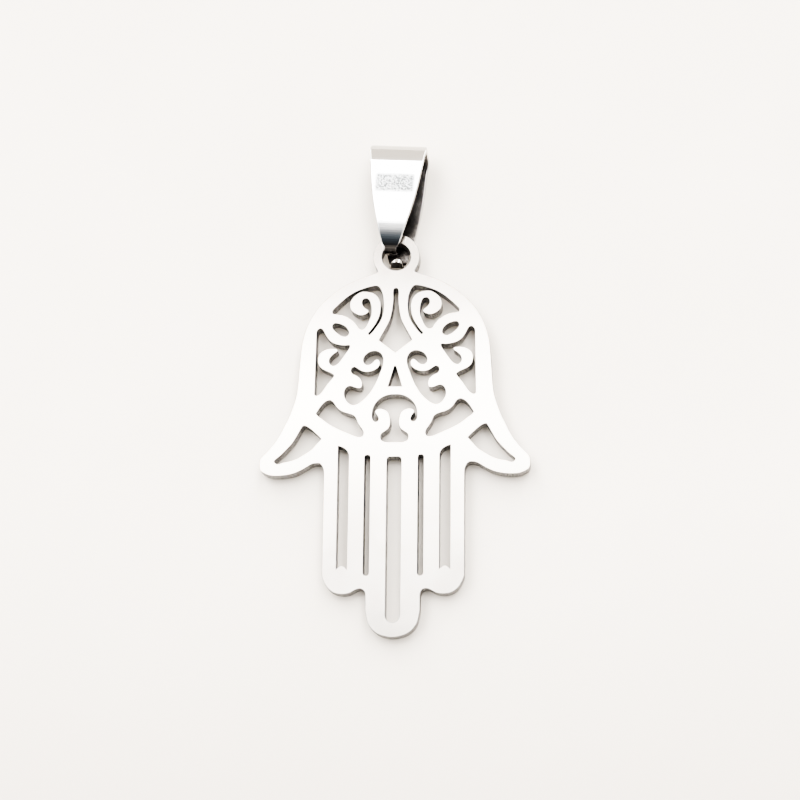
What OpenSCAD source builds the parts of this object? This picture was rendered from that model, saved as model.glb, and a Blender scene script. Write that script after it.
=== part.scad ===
// Hamsa pendant: a pierced steel hand plate and a folded strip bail closed through its eye.
// The pendant lies as put down: +Y runs from the finger tips to the bail, +Z is up, and the
// origin is on the surface below the middle of the whole length.
// The plate is drawn around the centre of its eye, with the fingers towards -Y.

/* [Plate] */
// Thickness of the steel plate
plate_t = 1.6; // [1.2:0.1:2.2]
// Width across the two curled thumbs
thumb_span = 27; // [25:0.5:30]
// Width of the palm above the thumbs
palm_w = 20; // [18.5:0.5:21.5]
// Height of the palm, from the centre of the eye to the line where the fingers begin
palm_h = 20; // [18:0.5:23]
// Diameter of the eye that the bail is closed through
eye_bore_d = 3; // [2.8:0.1:3.4]
// Wall of the ring round the eye
eye_wall = 0.88; // [0.8:0.02:1]
// Farthest that a flat on a cut wall lies from the true curve
cut_flat = 0.006; // [0.004:0.002:0.02]

/* [Fingers] */
// Width across the three straight fingers
hand_w = 14; // [13:0.5:15]
// Length of the outer fingers below the finger line
outer_finger_l = 14.75; // [13:0.25:17]
// Length of the centre finger below the finger line
centre_finger_l = 19; // [18:0.25:22]
// Width of the centre finger's free end
centre_finger_w = 5.34; // [5:0.02:5.6]
// Height of the rounded end of an outer finger
outer_round_h = 1.8; // [1.4:0.1:2.2]
// Height of the rounded end of the centre finger
centre_round_h = 2.6; // [2:0.1:3]
// Width of the bar along the outside of each outer finger
outer_bar_w = 1.37; // [1.1:0.01:1.6]
// Width of the wide slot in each outer finger
wide_slot_w = 1.1; // [0.8:0.05:1.3]
// Width of the narrow slot between an outer finger and the centre finger
narrow_slot_w = 0.57; // [0.4:0.01:0.8]
// Width of the slot in the centre finger
centre_slot_w = 1.45; // [1.2:0.05:1.8]
// Height of the wide slot's outer top corner above the finger line
wide_slot_rise = 0.18; // [0.05:0.01:0.3]
// Fall of the wide slot's head from its outer corner to its inner side
wide_slot_fall = 0.98; // [0.7:0.02:1.2]
// Rise of the arch at the wide slot's foot
wide_foot_arch = 0.38; // [0.2:0.02:0.6]
// Metal between the wide slot's foot and the outer finger's tip
wide_foot_web = 2.42; // [2:0.02:3]
// Start of the narrow slot below the finger line
narrow_slot_head = 0.8; // [0.5:0.1:1.2]
// Rounding of a narrow slot's head, as a share of half its width
narrow_head_round = 0.84; // [0.4:0.02:0.94]
// Start of the centre slot below the finger line
centre_slot_head = 1; // [0.6:0.1:1.4]
// Corner radius at the head of the centre slot
centre_head_r = 0.3; // [0.2:0.05:0.5]
// Metal between a narrow slot's foot and the notch below it
narrow_foot_web = 1.28; // [1:0.02:2]
// Metal between the centre slot's foot and the centre finger's tip
centre_foot_web = 1.42; // [1:0.02:2]

/* [Bail] */
// Reach of the bail, from the centre of the eye to the far side of its fold
bail_reach = 11.9; // [10.5:0.1:14]
// Width of the strip at the fold
bail_w = 5.8; // [5:0.1:6.6]
// Height of the fold
bail_depth = 4.3; // [4:0.1:5]
// Thickness of the strip
bail_t = 0.4; // [0.3:0.05:0.5]
// Width of each tongue
tongue_w = 1.26; // [1:0.02:1.4]
// Inner radius where a tongue turns into the eye
tongue_bend_r = 0.5; // [0.4:0.05:0.6]
// Slope of the front leaf where it turns into its tongue
front_leaf_slope = 42; // [36:1:44]
// Inner radius of the front leaf's long bend above the eye
leaf_bend_r = 4.2; // [3:0.1:5.5]
// Place of the front tongue's inner face, from the centre of the eye towards the fold
front_tongue_y = 0.7; // [0.6:0.02:0.8]
// Depth of the front tongue's end below the top of the plate
front_tongue_dip = 0.75; // [0.5:0.05:1]
// Place of the middle of the back tongue's end, from the centre of the eye away from the fold
back_tongue_y = 0.42; // [0.3:0.02:0.5]
// Depth of the back tongue's end below the top of the plate
back_tongue_dip = 0.05; // [0:0.05:0.3]
// Turn of the back tongue past upright, back towards the fold
back_tongue_curl = 18; // [0:1:22]
// Radius that rounds the end of each tongue
tongue_end_r = 0.8; // [0.66:0.01:0.88]
// Sideways turn of the whole bail in the eye
bail_turn = 3.5; // [0:0.5:5]
// Sideways place of the fold's middle, off the bail's own axis through the eye
fold_offset = 0.43; // [0.3:0.01:0.5]
// Sideways run of the back leaf, from the fold to its tongue
back_lean = 0.49; // [0.3:0.01:0.6]
// How much closer to its end the back leaf has the front leaf's widths, beside the tongues
back_ahead = 1.8; // [1.2:0.1:2]
// Length over which the sides of the back tongue are cut to its width, from its end
back_tongue_l = 1.1; // [0.9:0.1:1.2]
// Clearance between the bail and the plate
fit_gap = 0.06; // [0.04:0.01:0.08]

/* [Hidden] */

eye_bore_r = eye_bore_d / 2;
eye_ring_r = eye_bore_r + eye_wall;
hand_l = palm_h + centre_finger_l;
outer_tip_y = -palm_h - outer_finger_l;
// Reach past a face of anything that cuts right through it
past = 1;

// The tips of the fingers touch the surface, and the ring lies on the back leaf of the bail
rest_tilt = asin((bail_t + fit_gap) / hand_l);
low_end_y = -hand_l * cos(rest_tilt) - plate_t * sin(rest_tilt);
eye_z = hand_l * sin(rest_tilt);

// Edge tables of the palm.
// across: share of half the palm's width, outwards from the axis
// down: share of the palm's height, from the centre of the eye towards the fingers
// corner: 1 where the edge turns sharply, 0 where it runs on smoothly

// Shoulder of the hand, from the small fillet at the eye's ring to the root of the thumb
SHOULDER = [
    [0.187, 0.079, 0], [0.193, 0.083, 0], [0.208, 0.087, 0], [0.300, 0.102, 0],
    [0.390, 0.119, 0], [0.545, 0.159, 0], [0.660, 0.202, 0], [0.770, 0.256, 0],
    [0.850, 0.315, 0], [0.912, 0.385, 0], [0.948, 0.460, 0], [0.963, 0.540, 0],
    [0.976, 0.640, 0], [0.988, 0.715, 0],
];

// Long curl over the brow, with the small scroll inside it
BROW = [
    [0.646, 0.292, 0], [0.600, 0.260, 0], [0.550, 0.236, 0], [0.500, 0.214, 0],
    [0.450, 0.197, 0], [0.400, 0.183, 0], [0.350, 0.173, 0], [0.250, 0.158, 0],
    [0.210, 0.155, 0], [0.184, 0.157, 0], [0.160, 0.170, 0], [0.133, 0.204, 0],
    [0.122, 0.250, 0], [0.128, 0.300, 0], [0.152, 0.340, 0], [0.192, 0.372, 0],
    [0.252, 0.410, 0], [0.266, 0.416, 0], [0.278, 0.411, 0], [0.250, 0.392, 0],
    [0.200, 0.355, 0], [0.168, 0.320, 0], [0.154, 0.280, 0], [0.157, 0.244, 0],
    [0.180, 0.218, 0], [0.228, 0.195, 0], [0.285, 0.187, 0], [0.350, 0.186, 0],
    [0.400, 0.199, 0], [0.450, 0.224, 0], [0.467, 0.250, 0], [0.456, 0.281, 0],
    [0.412, 0.301, 0], [0.365, 0.311, 0], [0.330, 0.310, 0], [0.284, 0.298, 0],
    [0.276, 0.291, 0], [0.284, 0.284, 0], [0.320, 0.270, 0], [0.346, 0.246, 0],
    [0.330, 0.225, 0], [0.300, 0.221, 0], [0.279, 0.226, 0], [0.255, 0.252, 0],
    [0.246, 0.282, 0], [0.249, 0.310, 0], [0.270, 0.340, 0], [0.302, 0.372, 0],
    [0.322, 0.383, 0], [0.345, 0.386, 0], [0.368, 0.382, 0], [0.390, 0.366, 0],
    [0.440, 0.337, 0], [0.490, 0.320, 0], [0.545, 0.308, 0], [0.620, 0.302, 0],
    [0.640, 0.300, 0],
];

// Slanted oval beside the brow
OVAL = [
    [0.644, 0.370, 0], [0.633, 0.355, 0], [0.615, 0.351, 0], [0.575, 0.354, 0],
    [0.510, 0.370, 0], [0.475, 0.396, 0], [0.474, 0.408, 0], [0.483, 0.415, 0],
    [0.500, 0.421, 0], [0.536, 0.421, 0], [0.595, 0.402, 0], [0.638, 0.379, 0],
];

// Side opening, with the scroll that reaches into it
SIDE = [
    [0.811, 0.724, 1], [0.803, 0.398, 1], [0.796, 0.388, 0], [0.765, 0.377, 0],
    [0.738, 0.385, 0], [0.724, 0.399, 0], [0.700, 0.421, 0], [0.648, 0.451, 0],
    [0.580, 0.465, 0], [0.507, 0.470, 0], [0.463, 0.470, 0], [0.460, 0.475, 0],
    [0.467, 0.484, 0], [0.502, 0.510, 0], [0.546, 0.543, 0], [0.590, 0.568, 0],
    [0.620, 0.575, 0], [0.650, 0.571, 0], [0.671, 0.549, 0], [0.645, 0.522, 0],
    [0.616, 0.510, 0], [0.590, 0.501, 0], [0.585, 0.495, 0], [0.594, 0.488, 0],
    [0.620, 0.485, 0], [0.660, 0.485, 0], [0.736, 0.497, 0], [0.764, 0.509, 0],
    [0.785, 0.547, 0], [0.762, 0.580, 0], [0.736, 0.592, 0], [0.697, 0.602, 0],
    [0.630, 0.619, 0], [0.618, 0.625, 0], [0.620, 0.631, 0], [0.640, 0.644, 0],
    [0.680, 0.668, 0], [0.715, 0.694, 0], [0.750, 0.719, 0], [0.778, 0.729, 0],
    [0.800, 0.730, 0],
];

// Opening with two hooks beside the axis
HOOKS = [
    [0.324, 0.550, 0], [0.312, 0.529, 0], [0.280, 0.512, 0], [0.200, 0.501, 0],
    [0.170, 0.505, 0], [0.140, 0.518, 0], [0.123, 0.535, 0], [0.123, 0.570, 0],
    [0.148, 0.610, 0], [0.182, 0.655, 0], [0.229, 0.700, 0], [0.262, 0.725, 0],
    [0.305, 0.749, 0], [0.355, 0.770, 0], [0.412, 0.781, 0], [0.460, 0.773, 0],
    [0.495, 0.752, 0], [0.512, 0.730, 0], [0.510, 0.710, 0], [0.498, 0.695, 0],
    [0.476, 0.685, 0], [0.452, 0.682, 0], [0.420, 0.687, 0], [0.370, 0.695, 0],
    [0.342, 0.692, 0], [0.332, 0.680, 0], [0.344, 0.650, 0], [0.385, 0.630, 0],
    [0.434, 0.617, 0], [0.445, 0.605, 0], [0.440, 0.590, 0], [0.416, 0.583, 0],
    [0.377, 0.592, 0], [0.341, 0.604, 0], [0.300, 0.610, 0], [0.226, 0.605, 0],
    [0.190, 0.595, 0], [0.164, 0.583, 0], [0.154, 0.568, 0], [0.160, 0.553, 0],
    [0.180, 0.545, 0], [0.203, 0.549, 0], [0.224, 0.560, 0], [0.252, 0.570, 0],
    [0.287, 0.573, 0], [0.307, 0.568, 0],
];

// Leaf above the finger line
LEAF = [
    [0.792, 0.823, 1], [0.767, 0.803, 0], [0.732, 0.778, 0], [0.694, 0.761, 0],
    [0.653, 0.755, 0], [0.620, 0.765, 0], [0.590, 0.788, 0], [0.550, 0.808, 0],
    [0.495, 0.821, 0], [0.440, 0.829, 0], [0.400, 0.840, 0], [0.390, 0.847, 0],
    [0.371, 0.872, 0], [0.343, 0.894, 0], [0.314, 0.916, 0], [0.310, 0.930, 0],
    [0.323, 0.943, 0], [0.360, 0.946, 0], [0.419, 0.937, 0], [0.490, 0.921, 0],
    [0.625, 0.889, 0], [0.690, 0.867, 0], [0.735, 0.849, 0], [0.772, 0.836, 0],
];

// Right half of the spade under the eye, from its top to its foot
SPADE = [
    [0.000, 0.169, 0], [0.018, 0.172, 0], [0.025, 0.180, 0], [0.024, 0.225, 0],
    [0.028, 0.251, 0], [0.041, 0.301, 0], [0.051, 0.324, 0], [0.069, 0.350, 0],
    [0.094, 0.375, 0], [0.122, 0.401, 0], [0.150, 0.426, 0], [0.169, 0.445, 1],
    [0.000, 0.510, 1],
];

// Right half of the slim triangle
TRIANGLE = [
    [0.000, 0.580, 0], [0.010, 0.584, 1], [0.072, 0.688, 1],
];

// Right half of the mushroom above the fingers
MUSHROOM = [
    [0.000, 0.729, 0], [0.060, 0.731, 0], [0.105, 0.738, 0], [0.150, 0.752, 0],
    [0.186, 0.770, 0], [0.210, 0.790, 0], [0.223, 0.811, 0], [0.227, 0.835, 0],
    [0.225, 0.851, 0], [0.217, 0.860, 0], [0.198, 0.869, 0], [0.172, 0.867, 0],
    [0.160, 0.855, 0], [0.168, 0.842, 0], [0.184, 0.830, 0], [0.197, 0.819, 0],
    [0.193, 0.812, 0], [0.178, 0.806, 0], [0.144, 0.802, 0], [0.110, 0.806, 0],
    [0.078, 0.815, 0], [0.058, 0.829, 0], [0.047, 0.850, 0], [0.042, 0.870, 0],
    [0.045, 0.885, 0], [0.055, 0.900, 0], [0.098, 0.920, 0], [0.130, 0.931, 0],
    [0.140, 0.946, 0], [0.133, 0.962, 0], [0.095, 0.973, 0], [0.040, 0.975, 1],
];

// Edge tables of the thumb, with the columns of the palm's tables.
// across: share of the way from the palm's side to the thumb's outermost point
THUMB_BACK = [
    [0.014, 0.755, 0], [0.086, 0.795, 0], [0.214, 0.855, 0], [0.286, 0.879, 0],
    [0.400, 0.922, 0], [0.543, 0.965, 0], [0.629, 0.985, 0], [0.763, 1.013, 0],
    [0.914, 1.040, 0], [0.986, 1.057, 0], [1.000, 1.080, 0], [0.998, 1.098, 0],
    [0.963, 1.115, 0], [0.886, 1.125, 0],
];

// across: share of the way from the outer finger's side to the thumb's outermost point
THUMB_BELLY = [
    [0.823, 1.140, 0], [0.762, 1.142, 0], [0.615, 1.140, 0], [0.486, 1.132, 0],
    [0.377, 1.118, 0], [0.262, 1.097, 0], [0.215, 1.087, 0], [0.169, 1.081, 0],
    [0.120, 1.079, 0], [0.069, 1.080, 0], [0.034, 1.091, 0], [0.012, 1.105, 0],
    [0.000, 1.125, 1],
];

// Opening in the thumb
THUMB_EYE = [
    [0.338, 0.886, 0], [0.297, 0.887, 0], [0.243, 0.897, 0], [0.191, 0.910, 0],
    [0.142, 0.925, 0], [0.088, 0.941, 0], [0.049, 0.955, 1], [0.092, 0.970, 0],
    [0.138, 0.986, 0], [0.191, 1.006, 0], [0.251, 1.021, 0], [0.314, 1.034, 0],
    [0.434, 1.057, 0], [0.503, 1.065, 0], [0.625, 1.073, 0], [0.745, 1.080, 0],
    [0.775, 1.067, 0], [0.742, 1.055, 0], [0.688, 1.041, 0], [0.634, 1.024, 0],
    [0.585, 1.007, 0], [0.492, 0.972, 0], [0.434, 0.940, 0], [0.375, 0.905, 0],
    [0.351, 0.891, 0],
];

// Ends of the fingers.
// inwards: share of the way from the outer finger's outside to the centre finger's side
// down: share of the height of the rounded end
OUTER_END = [
    [0.000, 0.000, 1], [0.028, 0.194, 0], [0.092, 0.500, 0], [0.162, 0.722, 0],
    [0.261, 0.894, 0], [0.370, 0.983, 0], [0.497, 1.000, 0], [0.624, 0.956, 0],
    [0.716, 0.844, 0], [0.785, 0.750, 0], [0.878, 0.711, 0], [0.958, 0.794, 0],
    [0.993, 0.944, 0], [1.000, 1.020, 1],
];

// across: share of half the centre finger's width, outwards from the axis
CENTRE_END = [
    [1.000, 0.000, 1], [0.955, 0.231, 0], [0.906, 0.442, 0], [0.749, 0.692, 0],
    [0.536, 0.865, 0], [0.281, 0.962, 0], [0.000, 1.000, 0],
];

// Head of the wide slot.
// inwards: share of the slot's width from its outer side, down: share of the head's fall
WIDE_HEAD = [
    [0.000, 0.000, 1], [0.304, 0.122, 0], [0.643, 0.327, 0], [0.848, 0.571, 0],
    [0.982, 0.898, 0], [1.000, 1.000, 1],
];

// Plan of one leaf of the bail.
// along: share of the bail's reach, from the centre of the eye
// width: share of the way from the tongue's width to the fold's width
// lean: share of the leaf's sideways run
LEAF_PLAN = [
    [0.066, 0.000, 1.00], [0.094, 0.110, 0.97], [0.135, 0.195, 0.93],
    [0.218, 0.325, 0.86], [0.345, 0.513, 0.72], [0.513, 0.712, 0.53], [0.677, 0.850, 0.32],
    [0.824, 0.945, 0.05], [0.950, 1.000, 0.00], [1.000, 0.930, 0.00],
];

// Row of a list that runs round
function row_at(rows, i) = rows[(i + len(rows)) % len(rows)];
function place(row) = [row[0], row[1]];
function is_corner(row) = row[2] == 1;

// Direction of a smooth edge at a row, weighted by the distances to its two neighbours
function run_at(rows, i) =
    let (here = place(row_at(rows, i)),
         before = here - place(row_at(rows, i - 1)),
         after = place(row_at(rows, i + 1)) - here,
         d_before = norm(before),
         d_after = norm(after))
    (before / d_before * d_after + after / d_after * d_before) / (d_before + d_after);

// Direction at one end of a stretch: the smooth one, or at a corner the one that bends least
function end_run(rows, i, other, straight) =
    !is_corner(row_at(rows, i)) ? run_at(rows, i)
    : is_corner(row_at(rows, other)) ? straight
    : (3 * straight - run_at(rows, other)) / 2;

// Closed edge through all rows, as points close enough for the named flatness
function edge(rows) = [
    for (i = [0 : len(rows) - 1])
        let (a = place(row_at(rows, i)),
             b = place(row_at(rows, i + 1)),
             d = norm(b - a),
             straight = (b - a) / d,
             run_a = end_run(rows, i, i + 1, straight),
             run_b = end_run(rows, i + 1, i, straight),
             bend = abs(cross(run_a, straight)) + abs(cross(straight, run_b)),
             steps = max(1, ceil(sqrt(d * bend / (8 * cut_flat)))))
        for (k = [0 : steps - 1])
            let (s = k / steps)
            (1 + 2 * s) * (1 - s) * (1 - s) * a + s * (1 - s) * (1 - s) * d * run_a
            + s * s * (3 - 2 * s) * b + s * s * (s - 1) * d * run_b
];

// Points along an arc, both ends included
function arc(centre, radius, from, to) =
    let (flat_angle = 2 * acos(1 - cut_flat / radius),
         steps = ceil(abs(to - from) / flat_angle))
    [for (k = [0 : steps])
        let (turn = from + (to - from) * k / steps)
        centre + radius * [cos(turn), sin(turn)]];

function palm_row(row) = [row[0] * palm_w / 2, -row[1] * palm_h, row[2]];
function from_palm_row(row) = [palm_w / 2 + row[0] * (thumb_span - palm_w) / 2, -row[1] * palm_h, row[2]];
function from_finger_row(row) = [hand_w / 2 + row[0] * (thumb_span - hand_w) / 2, -row[1] * palm_h, row[2]];
function outer_end_row(row) = [
    hand_w / 2 - row[0] * (hand_w - centre_finger_w) / 2,
    outer_tip_y + (1 - row[1]) * outer_round_h,
    row[2]
];
function centre_end_row(row) =
    [row[0] * centre_finger_w / 2, -hand_l + (1 - row[1]) * centre_round_h, row[2]];
function across(row) = [-row[0], row[1], row[2]];

// A half edge from the axis back to the axis, closed by its mirror image
function both_halves(half) = concat(
    half,
    [for (i = [len(half) - 1 : -1 : 0]) if (half[i][0] != 0) across(half[i])]
);

// Turn of the eye's ring, from its top to its corner with the shoulder
ring_from = 90;
ring_to = -36;

half_hand = concat(
    [for (point = arc([0, 0], eye_ring_r, ring_from, ring_to)) [point[0], point[1], 1]],
    [for (row = SHOULDER) palm_row(row)],
    [for (row = THUMB_BACK) from_palm_row(row)],
    [for (row = THUMB_BELLY) from_finger_row(row)],
    [for (row = OUTER_END) outer_end_row(row)],
    [for (row = CENTRE_END) centre_end_row(row)]
);

// Upper edge of the notch between an outer finger and the centre finger
notch_down = min([for (row = OUTER_END) if (row[0] > 0.5) row[1]]);
notch_y = outer_end_row([0, notch_down, 0])[1];

module on_both_sides() {
    for (side = [0, 1]) mirror([side, 0]) children();
}

module palm_cut(table) {
    polygon(edge([for (row = table) palm_row(row)]));
}

module centre_cut(table) {
    polygon(edge(both_halves([for (row = table) palm_row(row)])));
}

module wide_slot() {
    outer_x = hand_w / 2 - outer_bar_w;
    top_y = -palm_h + wide_slot_rise;
    foot_y = outer_tip_y + wide_foot_web;
    head = [for (row = WIDE_HEAD) [outer_x - row[0] * wide_slot_w, top_y - row[1] * wide_slot_fall, row[2]]];
    foot = [
        [outer_x - wide_slot_w, foot_y, 1],
        [outer_x - wide_slot_w / 2, foot_y + wide_foot_arch, 0],
        [outer_x, foot_y, 1]
    ];
    polygon(edge(concat(head, foot)));
}

// Slot with a round foot, and a head with corners of the given radius
module slot(width, top_y, foot_y, head_r) {
    half_w = width / 2;
    polygon(concat(
        arc([half_w - head_r, top_y - head_r], head_r, 0, 90),
        arc([head_r - half_w, top_y - head_r], head_r, 90, 180),
        arc([0, foot_y + half_w], half_w, 180, 360)
    ));
}

module pierced() {
    centre_cut(SPADE);
    centre_cut(TRIANGLE);
    centre_cut(MUSHROOM);
    slot(centre_slot_w, -palm_h - centre_slot_head, -hand_l + centre_foot_web, centre_head_r);
    on_both_sides() {
        palm_cut(BROW);
        palm_cut(OVAL);
        palm_cut(SIDE);
        palm_cut(HOOKS);
        palm_cut(LEAF);
        polygon(edge([for (row = THUMB_EYE) from_finger_row(row)]));
        wide_slot();
        translate([centre_finger_w / 2, 0])
            slot(
                narrow_slot_w,
                -palm_h - narrow_slot_head,
                notch_y + narrow_foot_web,
                narrow_head_round * narrow_slot_w / 2
            );
    }
}

// The flat plate as cut from the sheet, around the centre of its eye
module plate_cut_out() {
    linear_extrude(plate_t)
        difference() {
            polygon(edge(both_halves(half_hand)));
            circle(eye_bore_r, $fn = 96);
            pierced();
        }
}

// One side of a leaf's plan, from beyond its tongue to beyond the fold
function leaf_half_w(row) = (tongue_w + row[1] * (bail_w - tongue_w)) / 2;
function plan_side(side, lean, ahead) =
    let (x = function (row) side * leaf_half_w(row) - fold_offset + row[2] * lean,
         first = LEAF_PLAN[0],
         last = LEAF_PLAN[len(LEAF_PLAN) - 1])
    concat(
        [[x(first), -eye_ring_r, 1]],
        [for (row = LEAF_PLAN) [x(row), row[0] * bail_reach - (1 - row[0]) * ahead, row == first ? 1 : 0]],
        [[x(last), bail_reach + past, 1]]
    );

function plan_rows(lean, ahead) =
    let (left = plan_side(-1, lean, ahead))
    concat(plan_side(1, lean, ahead), [for (i = [len(left) - 1 : -1 : 0]) left[i]]);

// The origin lies below the middle of the whole length, and the fold's left corner reaches farthest
fold_corner_x = leaf_half_w(LEAF_PLAN[len(LEAF_PLAN) - 1]) + fold_offset;
high_end_y = bail_reach * cos(bail_turn) + fold_corner_x * sin(bail_turn);
eye_y = -(low_end_y + high_end_y) / 2;

// Side view of the bail: distance from the centre of the eye, and height above the surface
fold_r = bail_depth / 2;
fold_c = [bail_reach - fold_r, fold_r];
bend_outer_r = tongue_bend_r + bail_t;
tongue_cut_w = tongue_w + 0.02;
plate_top_z = eye_z + plate_t * cos(rest_tilt);

// The front tongue stands in the eye with its side against the bore, and its leaf crosses the
// edge of the eye just above that side
tongue_side_x = sqrt(pow(eye_bore_r - fit_gap, 2) - pow(front_tongue_y, 2));
crossing_y = sqrt(pow(eye_bore_r, 2) - pow(tongue_side_x + fit_gap / 2, 2));
crossing_z = plate_top_z + crossing_y * sin(rest_tilt) + fit_gap;
front_lean = fold_offset - tongue_side_x + tongue_w / 2;
front_bend_y = front_tongue_y + tongue_bend_r;
front_bend_c = [
    front_bend_y,
    crossing_z - sqrt(pow(tongue_bend_r, 2) - pow(front_bend_y - crossing_y, 2))
];
front_end_z = plate_top_z - front_tongue_dip;

// From its tongue the leaf runs on in a long bend, and then straight to the fold
steep = 90 + front_leaf_slope;
long_bend_c = front_bend_c - (leaf_bend_r - tongue_bend_r) * [cos(steep), sin(steep)];
to_fold = fold_c - long_bend_c;
flat = 90 + atan2(to_fold[1], to_fold[0]) + asin((fold_r - bail_t - leaf_bend_r) / norm(to_fold));

front_side = concat(
    arc(fold_c, fold_r, 0, flat),
    arc(long_bend_c, leaf_bend_r + bail_t, flat, steep),
    arc(front_bend_c, bend_outer_r, steep, 180),
    [[front_tongue_y - bail_t, front_end_z], [front_tongue_y, front_end_z]],
    arc(front_bend_c, tongue_bend_r, 180, steep),
    arc(long_bend_c, leaf_bend_r, steep, flat),
    arc(fold_c, fold_r - bail_t, flat, 0)
);

// The back leaf lies on the surface, and its tongue rises through the eye and curls over
curl_from = 180 - back_tongue_curl;
back_rise = [sin(back_tongue_curl), cos(back_tongue_curl)];
back_mid_r = tongue_bend_r + bail_t / 2;
back_end = [-back_tongue_y, plate_top_z - back_tongue_dip];
back_straight = (back_end[1] - bend_outer_r - back_mid_r * sin(curl_from)) / back_rise[1];
back_bend_c = [
    back_end[0] - back_mid_r * cos(curl_from) - back_straight * back_rise[0],
    bend_outer_r
];
end_face = bail_t / 2 * [back_rise[1], -back_rise[0]];

back_side = concat(
    arc(fold_c, fold_r, 0, -90),
    arc(back_bend_c, bend_outer_r, 270, curl_from),
    [back_end - end_face, back_end + end_face],
    arc(back_bend_c, tongue_bend_r, curl_from, 270),
    arc(fold_c, fold_r - bail_t, -90, 0)
);

// One leaf with its half of the fold: the strip's side view, cut to its plan
module leaf(side_view, lean, ahead) {
    intersection() {
        translate([-bail_w, 0, 0])
            rotate([90, 0, 90])
                linear_extrude(2 * bail_w) polygon(side_view);
        translate([0, 0, -past])
            linear_extrude(bail_depth + 2 * past) polygon(edge(plan_rows(lean, ahead)));
    }
}

// What cuts a tongue to its width and rounds its end, turned from upright: a block with the
// outline of the tongue left out
module tongue_trim(mid_x, end, turn, length) {
    translate([mid_x, end[0], end[1]])
        rotate([turn, 0, 0])
            translate([0, bail_t, -tongue_end_r])
                rotate([90, 0, 0])
                    linear_extrude(2 * bail_t)
                        difference() {
                            translate([-bail_w / 2, tongue_end_r - length]) square([bail_w, length + past]);
                            intersection() {
                                translate([-tongue_cut_w / 2, -length]) square([tongue_cut_w, 2 * length]);
                                union() {
                                    circle(tongue_end_r, $fn = 64);
                                    translate([-tongue_end_r, -length]) square([2 * tongue_end_r, length]);
                                }
                            }
                        }
}

module hand_plate() {
    color([0.80, 0.81, 0.82])
        translate([0, eye_y, eye_z])
            rotate([rest_tilt, 0, 0])
                plate_cut_out();
}

module bail() {
    front_end = [front_tongue_y - bail_t / 2, front_end_z];
    color([0.72, 0.74, 0.77])
        translate([0, eye_y, 0])
            rotate([0, 0, -bail_turn])
                union() {
                    difference() {
                        leaf(front_side, front_lean, 0);
                        tongue_trim(front_lean - fold_offset, front_end, 180, tongue_end_r);
                    }
                    difference() {
                        leaf(back_side, back_lean, back_ahead);
                        tongue_trim(back_lean - fold_offset, back_end, -back_tongue_curl, back_tongue_l);
                    }
                }
}

hand_plate();
bail();
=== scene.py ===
"""Looks of a hamsa pendant: a cut and pierced steel hand, lying with its folded strip bail."""

import math

import bmesh
import bpy
import numpy as np
from mathutils import Matrix, Vector


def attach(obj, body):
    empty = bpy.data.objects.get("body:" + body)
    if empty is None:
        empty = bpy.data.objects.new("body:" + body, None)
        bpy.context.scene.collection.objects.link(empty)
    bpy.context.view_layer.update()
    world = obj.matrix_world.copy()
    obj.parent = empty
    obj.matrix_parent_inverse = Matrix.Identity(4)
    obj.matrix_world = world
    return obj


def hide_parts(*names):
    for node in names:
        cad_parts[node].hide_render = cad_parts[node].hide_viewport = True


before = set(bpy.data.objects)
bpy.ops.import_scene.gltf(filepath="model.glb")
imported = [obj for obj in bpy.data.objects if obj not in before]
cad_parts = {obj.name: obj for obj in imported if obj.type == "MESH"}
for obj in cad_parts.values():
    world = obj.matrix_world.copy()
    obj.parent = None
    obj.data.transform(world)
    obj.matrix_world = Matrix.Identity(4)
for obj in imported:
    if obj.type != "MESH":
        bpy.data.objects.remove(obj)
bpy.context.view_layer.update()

MM = 0.001  # in metres

# The cut plate
face_round = 0.035 * MM  # radius of the rubbed edge between a face and a cut wall
face_round_steps = 3
corner_angle = math.radians(35)  # a cut wall that turns by more than this keeps a sharp corner
same_way = 0.999  # cosine between two faces of the same plane
merge_gap = 0.0005 * MM  # points closer than this are one

# The folded strip, in its own side view: distance from the centre of the eye towards the fold, and height
strip_t = 0.40 * MM
strip_edge_round = 0.13 * MM
strip_edge_steps = 4
fold_reach = 11.9 * MM
fold_height = 4.3 * MM
fold_width = 5.8 * MM
fold_offset = 0.43 * MM  # how far the fold stands to the left, before the strip is turned
tongue_width = 1.26 * MM
tongue_bend = 0.50 * MM  # inner radius of the bend between a leaf and its tongue
tongue_round = 0.80 * MM  # radius of a tongue's end in plan
tongue_least = 1.2 * strip_edge_round  # least half width, at the very end of a tongue
leaf_bend = 4.2 * MM  # inner radius of the front leaf's long bend
leaf_steep = math.radians(42)  # how steeply the front leaf rises from its tongue
front_tongue_at = 0.70 * MM  # the side of the front tongue that faces the fold
front_tongue_dip = 0.75 * MM  # from the plate's upper face down to the front tongue's end
back_tongue_at = 0.42 * MM  # the back tongue's end, in front of the eye's centre
back_tongue_dip = 0.05 * MM  # from the plate's upper face down to the back tongue's end
back_tongue_curl = math.radians(18)  # how far past upright the back tongue turns
back_lean = 0.49 * MM  # sideways run of the back leaf, from the fold to its tongue
back_ahead = 1.8 * MM  # how much closer to its end the back leaf has the front leaf's widths
back_tongue_length = 1.1 * MM  # over which the back tongue has its own width
back_flare = 2  # half width that the back leaf may gain for each length beyond its tongue
strip_turn = math.radians(3.5)  # clockwise around the eye, seen from above
strip_clearance = 0.06 * MM  # kept between strip and plate where they would touch
arc_step = math.radians(3)
path_step = 0.08 * MM
cap_angle = math.radians(60)  # the flat end of a tongue keeps a sharp edge

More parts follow.
